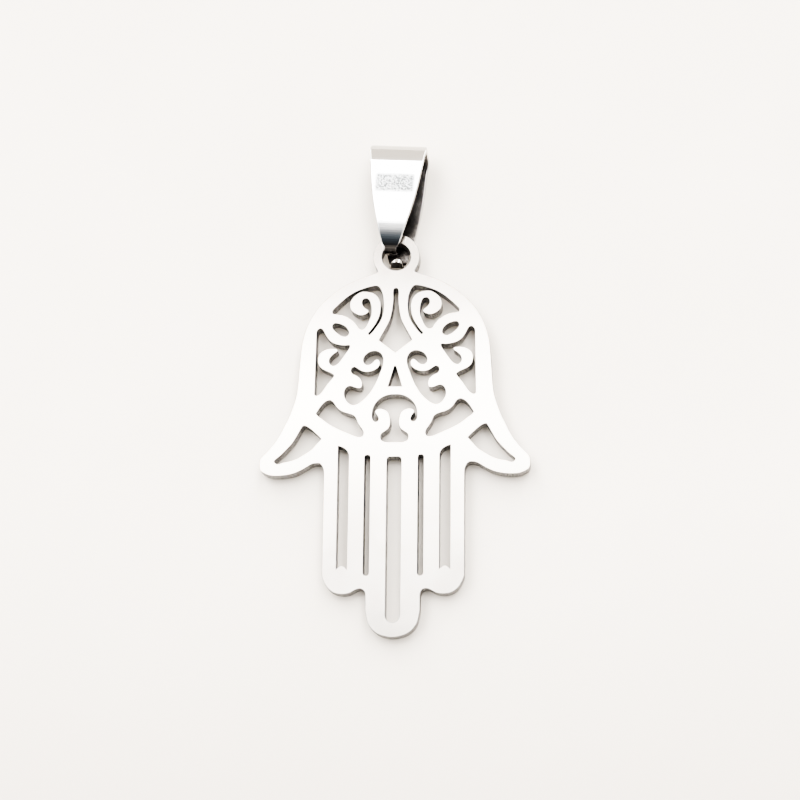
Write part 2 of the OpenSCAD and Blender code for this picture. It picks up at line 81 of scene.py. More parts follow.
# Plan of the strip on either side of its fold.
# along: share of the reach, width: share of the way from the tongue's width to the fold's,
# lean: share of the sideways run
STRIP_PLAN = (
    (0.066, 0.000, 1.00),
    (0.094, 0.110, 0.97),
    (0.135, 0.195, 0.93),
    (0.218, 0.325, 0.86),
    (0.345, 0.513, 0.72),
    (0.513, 0.712, 0.53),
    (0.677, 0.850, 0.32),
    (0.824, 0.945, 0.05),
    (0.950, 1.000, 0.00),
    (1.000, 0.930, 0.00),
)

# Tones of the finishes: a pair is the darker and the lighter end of a finish that varies
face_tones = (0.475, 0.44, 0.40), (0.505, 0.47, 0.43)
wall_tones = (0.085, 0.08, 0.075), (0.34, 0.33, 0.32)
mirror_tones = (0.60, 0.60, 0.605), (0.64, 0.64, 0.64)
inner_tones = (0.40, 0.375, 0.365), (0.60, 0.59, 0.58)
# painted shade on the strip, at the front tongue's end and inside the back leaf
painted_shade_tones = (0.05, 0.045, 0.042), (0.17, 0.158, 0.15)
board_tones = (0.64, 0.585, 0.515), (0.66, 0.605, 0.535)
# painted shade on the outside of the strip, from the crown of the fold on
fold_shade_tone = (0.53, 0.52, 0.495)
# painted reflection of the camera on the front leaf
reflection_patch_tone = (0.05, 0.055, 0.055)
# painted shade on the board towards the front
board_front_shade_tone = (0.48, 0.43, 0.375)

# The rougher patch on the bail's front leaf that carries a painted reflection of the camera, placed along
# the strip from the front tongue's end
patch_along = 8.0 * MM
patch_half_along = 1.05 * MM
patch_half_across = 2.10 * MM
patch_soft = 0.35 * MM

# Painted shade on the strip, placed along it from the front tongue's end: at that end, from the crown of
# the fold on, and inside the back leaf near the eye
end_shade_from = 1.5 * MM
end_shade_full = 0.9 * MM
fold_shade_from = 10.1 * MM
fold_shade_full = 10.7 * MM
inside_shade_from = 19.0 * MM
inside_shade_full = 22.0 * MM

# The inner side of the strip, by its distance from the middle of the thickness
inside_from = 0.46 * strip_t
inside_full = 0.49 * strip_t

# Painted shade: the board gets a little darker towards the front
board_size = 1600 * MM
board_darker_at = -60 * MM
board_lighter_at = -8 * MM

# The camera, from the plate's own plane: it looks at a point below the eye
aim_across = 0.53 * MM
aim_below_eye = 15.18 * MM
camera_distance = 200 * MM
camera_tilt = math.radians(16.05)
camera_azimuth = math.radians(-70.89)
camera_roll = math.radians(0.61)
camera_lens = 89.94
camera_clip_start = 10 * MM

# The room's light from front to back over the pendant.
# angle: degrees from upright, towards the bail's fold, light: its strength,
# warmth: share by which red is stronger and blue weaker
ROOM_LIGHT = (
    (-90, 0.06, 0.05),
    (-80, 0.45, 0.08),
    (-70, 0.12, 0.10),
    (-60, 0.30, 0.12),
    (-52, 0.04, 0.05),
    (-38, 0.10, -0.14),
    (-28, 0.22, -0.10),
    (-19, 0.42, -0.03),
    (-14, 0.75, 0.00),
    (-9, 1.40, 0.01),
    (-3, 2.00, 0.02),
    (3, 2.10, 0.02),
    (15, 1.70, 0.02),
    (18, 1.85, 0.09),
    (60, 1.80, 0.10),
    (90, 1.80, 0.10),
)
room_light_top = 2.5
room_least_up = 0.001  # ways that point down count as level ones
room_seen = (4.6, 4.5, 4.4)  # what the camera sees in the room's place

# The two windows behind, and the fill from the sides in front.
# near, far: where each starts and ends, in degrees from upright towards the right, light: its strength,
# dark, full: where it is dark and where it is full, in degrees from upright towards the bail's fold
WINDOWS = (
    (-16, -36, 12.0, -35, 10),
    (7, 24, 12.0, -35, 10),
    (-34, -90, 1.0, 10, -30),
    (34, 90, 1.0, 10, -30),
)
window_soft = 4  # degrees over which a window's side edge fades

# The light panel, hung above the pendant: places from the middle of the eye
panel_height = 500 * MM
panel_left = -350 * MM
panel_right = 250 * MM
panel_front = 15 * MM
panel_back = 150 * MM
panel_light = 10.0
# share: from the panel's front edge to its back edge, light: share of its full light
PANEL_RISE = ((0.00, 0.00), (0.15, 0.10), (0.27, 0.32), (0.46, 0.30), (0.61, 0.95), (0.70, 1.00))


# Nodes and objects


def fill(tree, node, values):
    """Links or sets a node's inputs."""
    for socket, value in values.items():
        if isinstance(value, bpy.types.NodeSocket):
            tree.links.new(value, node.inputs[socket])
        else:
            node.inputs[socket].default_value = value


def put(tree, kind, values=None, **settings):
    """Adds a node with its settings and its inputs."""
    node = tree.nodes.new(kind)
    for name, value in settings.items():
        setattr(node, name, value)
    fill(tree, node, values or {})
    return node


def step(tree, kind, values=None, **settings):
    """Adds a node in the same way, and gives its first output."""
    return put(tree, kind, values, **settings).outputs[0]


def math_node(tree, operation, *values):
    return step(tree, "ShaderNodeMath", dict(enumerate(values)), operation=operation)


def between(tree, value, low, high):
    """A soft step from 0 to 1."""
    ends = {"Value": value, "From Min": low, "From Max": high}
    return step(tree, "ShaderNodeMapRange", ends, interpolation_type="SMOOTHSTEP")


def ranged(tree, share, low, high):
    return step(tree, "ShaderNodeMapRange", {"Value": share, "To Min": low, "To Max": high})


def colour_mix(tree, share, low, high):
    """A colour between two, each of them plain or varied already."""
    node = put(tree, "ShaderNodeMix", data_type="RGBA")
    colours = [value if isinstance(value, bpy.types.NodeSocket) else (*value, 1) for value in (low, high)]
    fill(tree, node, {0: share, 6: colours[0], 7: colours[1]})
    return node.outputs[2]


def fill_ramp(ramp, stops):
    """Sets a colour ramp to stops of a place and a colour."""
    while len(ramp.elements) < len(stops):
        ramp.elements.new(0.5)
    for element, (place, colour) in zip(ramp.elements, stops):
        element.position = place
        element.color = (*colour, 1)


def add_object(name, data):
    made = bpy.data.objects.new(name, data)
    bpy.context.scene.collection.objects.link(made)
    return made


# Geometry trees


def new_tree(name, inputs):
    """A geometry tree with a geometry output and the named inputs."""
    tree = bpy.data.node_groups.new(name, "GeometryNodeTree")
    for title, socket in inputs:
        tree.interface.new_socket(title, in_out="INPUT", socket_type=socket)
    tree.interface.new_socket("Piece", in_out="OUTPUT", socket_type="NodeSocketGeometry")
    return tree, put(tree, "NodeGroupInput").outputs


def carry(tree, geometry, values, kind="FLOAT", domain="POINT"):
    """Keeps values on a geometry, and gives the geometry and each value by its name."""
    kept = put(tree, "GeometryNodeCaptureAttribute", {"Geometry": geometry}, domain=domain)
    for name in values:
        kept.capture_items.new(kind, name)
    fill(tree, kept, values)
    return kept.outputs


def joined(tree, *parts):
    join = put(tree, "GeometryNodeJoinGeometry")
    for part in parts:
        tree.links.new(part, join.inputs[0])
    return join.outputs[0]


def grow(source, tree, values, name):
    """Runs a geometry tree on an object and returns its result as a plain mesh object."""
    modifier = source.modifiers.new(tree.name, "NODES")
    modifier.node_group = tree
    for item in tree.interface.items_tree:
        if item.in_out == "INPUT" and item.name in values:
            modifier[item.identifier] = values[item.name]
    bpy.context.view_layer.update()
    result = source.evaluated_get(bpy.context.evaluated_depsgraph_get())
    mesh = bpy.data.meshes.new_from_object(result)
    mesh.name = name
    bpy.data.objects.remove(source)
    return add_object(name, mesh)


def settle_normals(piece, sharp_angle):
    """Keeps flat faces flat up to their rounded edges, by weighting normals with the faces' sizes.

    It works in millimetres, because the modifier takes very small faces for equal ones."""
    piece.data.shade_smooth()
    piece.data.set_sharp_from_angle(angle=sharp_angle)
    piece.data.transform(Matrix.Scale(1 / MM, 4))
    modifier = piece.modifiers.new("even normals", "WEIGHTED_NORMAL")
    modifier.mode = "FACE_AREA"
    modifier.weight = 90
    modifier.thresh = 0
    modifier.keep_sharp = True
    bpy.context.view_layer.update()
    graph = bpy.context.evaluated_depsgraph_get()
    mesh = bpy.data.meshes.new_from_object(
        piece.evaluated_get(graph), preserve_all_data_layers=True, depsgraph=graph
    )
    mesh.name = piece.name
    mesh.transform(Matrix.Scale(MM, 4))
    piece.modifiers.remove(modifier)
    piece.data = mesh


# The hand plate


def plate_tree():
    """Walls that follow the outline with a rounded rim at both faces, and the two faces."""
    tree, given = new_tree(
        "cut plate",
        (
            ("Outline", "NodeSocketGeometry"),
            ("Thickness", "NodeSocketFloat"),
            ("Rim Round", "NodeSocketFloat"),
            ("Rim Steps", "NodeSocketInt"),
            ("Merge", "NodeSocketFloat"),
            ("Face", "NodeSocketMaterial"),
            ("Wall", "NodeSocketMaterial"),
        ),
    )
    thickness, rim = given["Thickness"], given["Rim Round"]
    inwards = math_node(tree, "MULTIPLY", rim, -1.0)
    outline = step(tree, "GeometryNodeSetCurveNormal", {"Curve": given["Outline"]}, mode="Z_UP")

    # The wall's section: in along the top face, down, and back along the underside
    corners = {
        "Point 1": {"X": inwards},
        "Point 2": {},
        "Point 3": {"Y": thickness},
        "Point 4": {"X": inwards, "Y": thickness},
    }
    points = {name: step(tree, "ShaderNodeCombineXYZ", place) for name, place in corners.items()}
    section = step(tree, "GeometryNodeCurvePrimitiveQuadrilateral", points, mode="POINTS")
    section = step(tree, "GeometryNodeSetSplineCyclic", {"Geometry": section, "Cyclic": False})
    rounding = {"Curve": section, "Radius": rim, "Count": given["Rim Steps"]}
    section = step(tree, "GeometryNodeFilletCurve", rounding, mode="POLY")

    # The wall remembers the way along the outline and the way down its section
    run = put(tree, "GeometryNodeSplineParameter").outputs["Length"]
    around = carry(tree, outline, {"run": run})
    down = carry(tree, section, {"run": run})
    curves = {"Curve": around["Geometry"], "Profile Curve": down["Geometry"]}
    wall = step(tree, "GeometryNodeCurveToMesh", curves)
    wall_map = step(tree, "ShaderNodeCombineXYZ", {"X": around["run"], "Y": down["run"]})
    wall = step(
        tree,
        "GeometryNodeStoreNamedAttribute",
        {"Geometry": wall, "Name": "wall_run", "Value": wall_map},
        data_type="FLOAT2",
        domain="CORNER",
    )

    # The two faces fill what the rims leave
    outwards = step(tree, "GeometryNodeInputNormal")
    inset = step(tree, "ShaderNodeVectorMath", {0: outwards, "Scale": inwards}, operation="SCALE")
    rim_line = step(tree, "GeometryNodeSetPosition", {"Geometry": outline, "Offset": inset})
    top = step(tree, "GeometryNodeFillCurve", {"Curve": rim_line}, mode="TRIANGLES")
    drop = step(tree, "ShaderNodeCombineXYZ", {"Z": math_node(tree, "MULTIPLY", thickness, -1.0)})
    bottom = step(tree, "GeometryNodeTransform", {"Geometry": top, "Translation": drop})
    bottom = step(tree, "GeometryNodeFlipFaces", {"Mesh": bottom})
    faces = carry(tree, joined(tree, top, bottom), {"flat": True}, kind="BOOLEAN", domain="FACE")

    plate = joined(tree, wall, faces["Geometry"])
    plate = step(tree, "GeometryNodeMergeByDistance", {"Geometry": plate, "Distance": given["Merge"]})
    plate = step(tree, "GeometryNodeRealizeInstances", {"Geometry": plate})
    plate = step(tree, "GeometryNodeSetMaterial", {"Geometry": plate, "Material": given["Wall"]})
    on_faces = {"Geometry": plate, "Selection": faces["flat"], "Material": given["Face"]}
    plate = step(tree, "GeometryNodeSetMaterial", on_faces)
    put(tree, "NodeGroupOutput", {"Piece": plate})
    return tree


def plate_lines(node):
    """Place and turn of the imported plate, its thickness, its eye's radius, and its upper face's lines."""
    mesh = bmesh.new()
    mesh.from_mesh(node.data)
    bmesh.ops.remove_doubles(mesh, verts=mesh.verts, dist=merge_gap)
    mesh.normal_update()
    up = max(mesh.faces, key=lambda face: face.normal.z * face.calc_area()).normal.copy()

    def is_top(face):
        return face.normal.dot(up) > same_way

    rim = [edge for edge in mesh.edges if sum(is_top(face) for face in edge.link_faces) == 1]
    next_to = {}
    for edge in rim:
        for here, there in (edge.verts, reversed(edge.verts)):
            next_to.setdefault(here, []).append(there)
    lines, seen = [], set()
    for first in next_to:
        if first in seen:
            continue
        line = [first]
        seen.add(first)
        while True:
            onward = [vert for vert in next_to[line[-1]] if vert not in seen]
            if not onward:
                break
            line.append(onward[0])
            seen.add(onward[0])
        lines.append([vert.co.copy() for vert in line])
    heights = [vert.co.dot(up) for vert in mesh.verts]
    thickness = max(heights) - min(heights)
    mesh.free()

    # The outer line reaches farthest towards the bail, and the eye is the next line to do so.
    # Its centre is the plate's own origin
    holes = sorted(lines, key=lambda line: max(co.y for co in line))[:-1]
    eye = sum(holes[-1], Vector()) / len(holes[-1])
    place = Matrix.Translation(eye) @ Matrix.Rotation(-math.atan2(up.y, up.z), 4, "X")
    flat = [[place.inverted() @ co for co in line] for line in lines]
    bore = sum(point.length for point in flat[lines.index(holes[-1])]) / len(holes[-1])
    return place, thickness, bore, flat


def area_within(line):
    """Area inside a closed line, less than nothing if it runs clockwise."""
    return sum(a.x * b.y - b.x * a.y for a, b in zip(line, line[1:] + line[:1])) / 2


def outline_object(lines):
    """The plate's outline as closed curves, each with the metal on its left."""
    curve = bpy.data.curves.new("outline", "CURVE")
    curve.dimensions = "3D"
    outer = max(lines, key=lambda line: abs(area_within(line)))
    for line in lines:
        if (area_within(line) > 0) != (line is outer):
            line = line[::-1]
        spline = curve.splines.new("POLY")
        spline.points.add(len(line) - 1)
        spline.points.foreach_set("co", [v for co in line for v in (co.x, co.y, 0.0, 1.0)])
        spline.use_cyclic_u = True
    return add_object("outline", curve)


def build_plate(node, face_material, wall_material):
    """The cut plate with rounded rims, its place, its thickness and the radius of its eye."""
    place, thickness, bore, lines = plate_lines(node)
    sizes = {
        "Thickness": thickness,
        "Rim Round": face_round,
        "Rim Steps": face_round_steps,
        "Merge": merge_gap,
        "Face": face_material,
        "Wall": wall_material,
    }
    plate = grow(outline_object(lines), plate_tree(), sizes, "cut_hand_plate")
    plate.data.transform(place)
    settle_normals(plate, corner_angle)
    return plate, place, thickness, bore


# The folded strip bail


def smooth_value(rows, column, at):
    """A column of a table at any place along it, on a curve without kinks."""
    xs = np.array([row[0] for row in rows])
    ys = np.array([row[column] for row in rows])
    steps = np.diff(ys) / np.diff(xs)
    gaps = np.diff(xs)
    runs = np.empty(len(xs))
    runs[1:-1] = (steps[:-1] * gaps[1:] + steps[1:] * gaps[:-1]) / (gaps[1:] + gaps[:-1])
    runs[0], runs[-1] = 0.0, steps[-1]
    at = np.clip(at, xs[0], xs[-1])
    i = np.clip(np.searchsorted(xs, at) - 1, 0, len(gaps) - 1)
    s = (at - xs[i]) / gaps[i]
    rise = (1 + 2 * s) * (1 - s) ** 2 * ys[i] + s**2 * (3 - 2 * s) * ys[i + 1]
    return rise + gaps[i] * (s * (1 - s) ** 2 * runs[i] + s**2 * (s - 1) * runs[i + 1])


def arc(centre, radius, start, end):
    """Points on an arc in the side view, both ends included."""
    steps = math.ceil(abs(end - start) / arc_step)
    turns = np.linspace(start, end, steps + 1)
    return np.column_stack([centre[0] + radius * np.cos(turns), centre[1] + radius * np.sin(turns)])


def strip_side_view(eye_r, eye_high, lean_angle):
    """Middle line of the strip, from the front tongue's end to the fold and on to the back tongue's end.

    Also the front leaf's sideways run."""
    fold_r = fold_height / 2
    fold_c = np.array([fold_reach - fold_r, fold_r])
    middle = tongue_bend + strip_t / 2

    # The front tongue stands at the left in the eye, and its leaf clears the eye's edge
    # where the leaf's left side crosses it
    side_x = math.sqrt((eye_r - strip_clearance) ** 2 - front_tongue_at**2)
    crossing = math.sqrt(eye_r**2 - (side_x + strip_clearance / 2) ** 2)
    crossing_z = eye_high + crossing * math.sin(lean_angle) + strip_clearance
    bend_y = front_tongue_at + tongue_bend
    front_c = np.array([bend_y, crossing_z - math.sqrt(tongue_bend**2 - (bend_y - crossing) ** 2)])
    steep = math.pi / 2 + leaf_steep
    long_c = front_c - (leaf_bend - tongue_bend) * np.array([math.cos(steep), math.sin(steep)])
    to_fold = fold_c - long_c
    top = math.pi / 2 + math.atan2(to_fold[1], to_fold[0]) + math.asin(
        (fold_r - strip_t - leaf_bend) / np.linalg.norm(to_fold)
    )
    front_end_shade = np.array([front_tongue_at - strip_t / 2, eye_high - front_tongue_dip])

    curl = math.pi - back_tongue_curl
    back_end = np.array([-back_tongue_at, eye_high - back_tongue_dip])
    low = tongue_bend + strip_t
    rise = (back_end[1] - low - middle * math.sin(curl)) / math.cos(back_tongue_curl)
    back_c = np.array([back_end[0] - middle * math.cos(curl) - rise * math.sin(back_tongue_curl), low])

    fold_mid_r = fold_r - strip_t / 2
    front = [
        front_end_shade[None],
        arc(front_c, middle, math.pi, steep),
        arc(long_c, leaf_bend + strip_t / 2, steep, top),
        arc(fold_c, fold_mid_r, top, 0),
    ]
    back = [
        arc(fold_c, fold_mid_r, 0, -math.pi / 2),
        arc(back_c, middle, 3 * math.pi / 2, curl),
        back_end[None],
    ]
    front_lean = fold_offset - side_x + tongue_width / 2
    return np.concatenate(front), np.concatenate(back), front_lean


def spaced(line, longest):
    """A line with points no farther apart than the longest step, and the distance run at each."""
    lengths = np.linalg.norm(np.diff(line, axis=0), axis=1)
    line = line[np.append(True, lengths > merge_gap)]
    lengths = lengths[lengths > merge_gap]
    parts = [line[:1]]
    for a, b, length in zip(line, line[1:], lengths):
        shares = np.linspace(0, 1, math.ceil(length / longest) + 1)[1:, None]
        parts.append(a + (b - a) * shares)
    line = np.concatenate(parts)
    return line, np.concatenate([[0.0], np.cumsum(np.linalg.norm(np.diff(line, axis=0), axis=1))])


def leaf_widths(line, run, lean, ahead):
    """Half width and sideways place of a leaf, at each point from its tongue's end to the fold."""
    along = (line[:, 0] + ahead) / (fold_reach + ahead)
    width = smooth_value(STRIP_PLAN, 1, along)
    half = (tongue_width + width * (fold_width - tongue_width)) / 2
    middle = smooth_value(STRIP_PLAN, 2, along) * lean - fold_offset
    # The end of the tongue is round
    left = np.clip(tongue_round - run, 0, None)
    half = np.where(left > 0, np.minimum(half, np.sqrt(tongue_round**2 - left**2)), half)
    return np.maximum(half, tongue_least), middle


def strip_path(eye_r, eye_high, lean_angle):
    """The strip's middle line in its side view, as an open line with half widths and sideways places."""
    front, back, front_lean = strip_side_view(eye_r, eye_high, lean_angle)
    front, front_run = spaced(front, path_step)
    back, back_run = spaced(back[::-1], path_step)
    front_half, front_middle = leaf_widths(front, front_run, front_lean, 0)
    back_half, back_middle = leaf_widths(back, back_run, back_lean, back_ahead)
    beyond_tongue = np.clip(back_run - back_tongue_length, 0, None)
    back_half = np.minimum(back_half, tongue_width / 2 + back_flare * beyond_tongue)
    line = np.concatenate([front, back[-2::-1]])
    half = np.concatenate([front_half, back_half[-2::-1]])
    middle = np.concatenate([front_middle, back_middle[-2::-1]])
    mesh = bpy.data.meshes.new("strip path")
    points = np.column_stack([line, np.zeros(len(line))])
    mesh.from_pydata(points.tolist(), [(i, i + 1) for i in range(len(line) - 1)], [])
    for name, values in (("half_width", half), ("middle", middle)):
        mesh.attributes.new(name, "FLOAT", "POINT").data.foreach_set("value", values)
    return add_object("strip path", mesh)


def strip_tree():
    """A strip with rounded edges that follows a line, as wide at each point as the line says."""
    tree, given = new_tree(
        "folded strip",
        (
            ("Path", "NodeSocketGeometry"),
            ("Thickness", "NodeSocketFloat"),
            ("Edge Round", "NodeSocketFloat"),
            ("Edge Steps", "NodeSocketInt"),
            ("Section Width", "NodeSocketFloat"),
            ("Finish", "NodeSocketMaterial"),
        ),
    )
    path = step(tree, "GeometryNodeMeshToCurve", {"Mesh": given["Path"]})
    path = step(tree, "GeometryNodeSetCurveNormal", {"Curve": path}, mode="Z_UP")
    marks = {
        name: step(tree, "GeometryNodeInputNamedAttribute", {"Name": name}, data_type="FLOAT")
        for name in ("half_width", "middle")
    }
    marks["run"] = put(tree, "GeometryNodeSplineParameter").outputs["Length"]
    path = carry(tree, path, marks)

    shape = {"Width": given["Thickness"], "Height": given["Section Width"]}
    section = step(tree, "GeometryNodeCurvePrimitiveQuadrilateral", shape)
    rounding = {"Curve": section, "Radius": given["Edge Round"], "Count": given["Edge Steps"]}
    section = step(tree, "GeometryNodeFilletCurve", rounding, mode="POLY")
    where = put(tree, "ShaderNodeSeparateXYZ", {0: step(tree, "GeometryNodeInputPosition")}).outputs
    section = carry(tree, section, {"depth": where["X"]})
    curves = {"Curve": path["Geometry"], "Profile Curve": section["Geometry"], "Fill Caps": True}
    strip = step(tree, "GeometryNodeCurveToMesh", curves)

    # Each side of the section moves out to the strip's own width, so its rounded edge keeps its size
    side = math_node(tree, "SIGN", where["Z"])
    half_section = math_node(tree, "MULTIPLY", given["Section Width"], 0.5)
    widening = math_node(tree, "SUBTRACT", path["half_width"], half_section)
    shift = math_node(tree, "MULTIPLY_ADD", side, widening, path["middle"])
    across = math_node(tree, "ADD", where["Z"], shift)
    off_middle = math_node(tree, "SUBTRACT", across, path["middle"])
    places = {"X": off_middle, "Y": path["run"], "Z": section["depth"]}
    strip = step(
        tree,
        "GeometryNodeStoreNamedAttribute",
        {"Geometry": strip, "Name": "strip_run", "Value": step(tree, "ShaderNodeCombineXYZ", places)},
        data_type="FLOAT_VECTOR",
        domain="POINT",
    )

    # The side view's two directions become the bail's length and height
    turned = step(tree, "ShaderNodeCombineXYZ", {"X": across, "Y": where["X"], "Z": where["Y"]})
    strip = step(tree, "GeometryNodeSetPosition", {"Geometry": strip, "Position": turned})
    strip = step(tree, "GeometryNodeRealizeInstances", {"Geometry": strip})
    strip = step(tree, "GeometryNodeSetMaterial", {"Geometry": strip, "Material": given["Finish"]})
    put(tree, "NodeGroupOutput", {"Piece": strip})
    return tree


def build_bail(plate_place, plate_t, eye_r, finish):
    """The folded strip, closed through the plate's eye."""
    tilt = plate_place.to_euler().x
    eye = plate_place.translation
    underside = plate_place @ Vector((0, 0, -plate_t))
    sizes = {
        "Thickness": strip_t,
        "Edge Round": strip_edge_round,
        "Edge Steps": strip_edge_steps,
        "Section Width": tongue_width,
        "Finish": finish,
    }
    bail = grow(strip_path(eye_r, eye.z, tilt), strip_tree(), sizes, "folded_bail")
    eye_axis = Matrix.Translation((0, underside.y, 0))
    bail.data.transform(eye_axis @ Matrix.Rotation(-strip_turn, 4, "Z"))
    faces = bmesh.new()
    faces.from_mesh(bail.data)
    bmesh.ops.remove_doubles(faces, verts=faces.verts, dist=merge_gap)
    bmesh.ops.recalc_face_normals(faces, faces=faces.faces)
    faces.to_mesh(bail.data)
    faces.free()
    settle_normals(bail, cap_angle)
    return bail


# Finishes


def new_group(name, inputs, outputs):
    """A shader node group with named inputs, each with its first value, and named outputs."""
    tree = bpy.data.node_groups.new(name, "ShaderNodeTree")
    for title, value in inputs:
        kind = "NodeSocketVector" if value is None else "NodeSocketFloat"
        socket = tree.interface.new_socket(title, in_out="INPUT", socket_type=kind)
        if value is not None:
            socket.default_value = value
    for title in outputs:
        tree.interface.new_socket(title, in_out="OUTPUT", socket_type="NodeSocketFloat")
    return tree, put(tree, "NodeGroupInput").outputs


def use_group(tree, group, values):
    """Places a group with its own values, and gives its outputs."""
    return put(tree, "ShaderNodeGroup", values, node_tree=group).outputs


def new_material(name):
    """A material with only its Principled shader, its tree and that shader."""
    material = bpy.data.materials.new(name)
    material.use_nodes = True
    tree = material.node_tree
    return material, tree, tree.nodes["Principled BSDF"]


def noise(tree, values, **settings):
    return put(tree, "ShaderNodeTexNoise", values, **settings).outputs["Fac"]


def bumped(tree, height, strength, distance, **over):
    """A normal that follows a height, over another normal if one is named."""
    values = {"Height": height, "Strength": strength, "Distance": distance, **over}
    return step(tree, "ShaderNodeBump", values)


def stretched(tree, vector, scale):
    return step(tree, "ShaderNodeMapping", {"Vector": vector, "Scale": scale})


def object_place(tree):
    return put(tree, "ShaderNodeTexCoord").outputs["Object"]


def own_place(tree, attribute):
    """A piece's own places, along and across its surface."""
    node = put(tree, "ShaderNodeAttribute", attribute_type="GEOMETRY", attribute_name=attribute)
    return node.outputs["Vector"]


def grain_group():
    """Fine lines left by polishing, all in one direction, broken up along their length."""
    tree, given = new_group(
        "polishing grain",
        (("Place", None), ("Lines per mm", 20.0), ("Line Length mm", 1.5)),
        ("Height", "Mask"),
    )
    across = math_node(tree, "MULTIPLY", given["Lines per mm"], 1 / MM)
    along = math_node(tree, "DIVIDE", 1 / MM, given["Line Length mm"])
    scale = step(tree, "ShaderNodeCombineXYZ", {"X": across, "Y": along, "Z": across})
    place = step(tree, "ShaderNodeVectorMath", {0: given["Place"], 1: scale}, operation="MULTIPLY")
    lines = noise(tree, {"Vector": place, "Scale": 1.0, "Detail": 3.0, "Roughness": 0.6})
    put(tree, "NodeGroupOutput", {"Height": lines, "Mask": between(tree, lines, 0.62, 0.72)})
    return tree


def cloud_group():
    """Slow changes of tone, as handling and uneven polishing leave them."""
    tree, given = new_group("handling clouds", (("Place", None), ("Size mm", 5.0)), ("Mask",))
    scale = math_node(tree, "DIVIDE", 1 / MM, given["Size mm"])
    look = {"Vector": given["Place"], "Scale": scale, "Detail": 4.0, "Roughness": 0.55, "Distortion": 0.4}
    put(tree, "NodeGroupOutput", {"Mask": between(tree, noise(tree, look), 0.35, 0.65)})
    return tree


def satin_steel(grain, clouds):
    """The plate's faces: bright steel with a fine even grain."""
    material, tree, shader = new_material("satin steel face")
    place = object_place(tree)
    height = use_group(tree, grain, {"Place": place, "Lines per mm": 22.0, "Line Length mm": 1.2})["Height"]
    tone = use_group(tree, clouds, {"Place": place, "Size mm": 6.0})["Mask"]
    finish = {
        "Metallic": 1.0,
        "Base Color": colour_mix(tree, tone, *face_tones),
        "Roughness": math_node(tree, "MULTIPLY_ADD", height, 0.06, ranged(tree, tone, 0.13, 0.17)),
        "Normal": bumped(tree, height, 0.10, 0.004 * MM),
    }
    fill(tree, shader, finish)
    return material


def cut_wall_steel(clouds):
    """The laser-cut walls: darker, with the beam's striations running down them, and fine pits."""
    material, tree, shader = new_material("laser cut wall")
    place = object_place(tree)
    down_walls = stretched(tree, own_place(tree, "wall_run"), (7.0 / MM, 0.9 / MM, 1.0))
    look = {"Vector": down_walls, "Scale": 1.0, "Detail": 4.0, "Roughness": 0.65, "Distortion": 0.5}
    stripes = noise(tree, look, noise_dimensions="2D")
    pits = noise(tree, {"Vector": place, "Scale": 7.5 / MM, "Detail": 2.0})
    rough_cut = math_node(tree, "MULTIPLY_ADD", pits, 0.45, math_node(tree, "MULTIPLY", stripes, 0.55))
    tone = use_group(tree, clouds, {"Place": place, "Size mm": 1.2})["Mask"]
    finish = {
        "Metallic": 1.0,
        "Base Color": colour_mix(tree, between(tree, rough_cut, 0.38, 0.62), *wall_tones),
        "Roughness": ranged(tree, tone, 0.38, 0.55),
        "Normal": bumped(tree, rough_cut, 0.5, 0.03 * MM),
    }
    fill(tree, shader, finish)
    return material


def reflection_patch_mask(tree, run, across, along, outside):
    """The patch on the front leaf with a painted reflection of the camera: a soft-edged field of fine dark
    specks.
    """
    off_across = math_node(tree, "ABSOLUTE", across)
    off_along = math_node(tree, "ABSOLUTE", math_node(tree, "SUBTRACT", along, patch_along))
    field = math_node(
        tree,
        "MULTIPLY",
        between(tree, off_across, patch_half_across + patch_soft, patch_half_across - patch_soft),
        between(tree, off_along, patch_half_along + patch_soft, patch_half_along - patch_soft),
    )
    field = math_node(tree, "MULTIPLY", field, outside)
    specks = noise(tree, {"Vector": run, "Scale": 8.0 / MM, "Detail": 2.0, "Roughness": 0.7})
    thinned = math_node(tree, "MULTIPLY_ADD", math_node(tree, "SUBTRACT", field, 1.0), 0.5, specks)
    speckle = math_node(tree, "MULTIPLY", between(tree, thinned, 0.46, 0.56), 0.42)
    return math_node(tree, "MULTIPLY_ADD", field, 0.55, speckle)


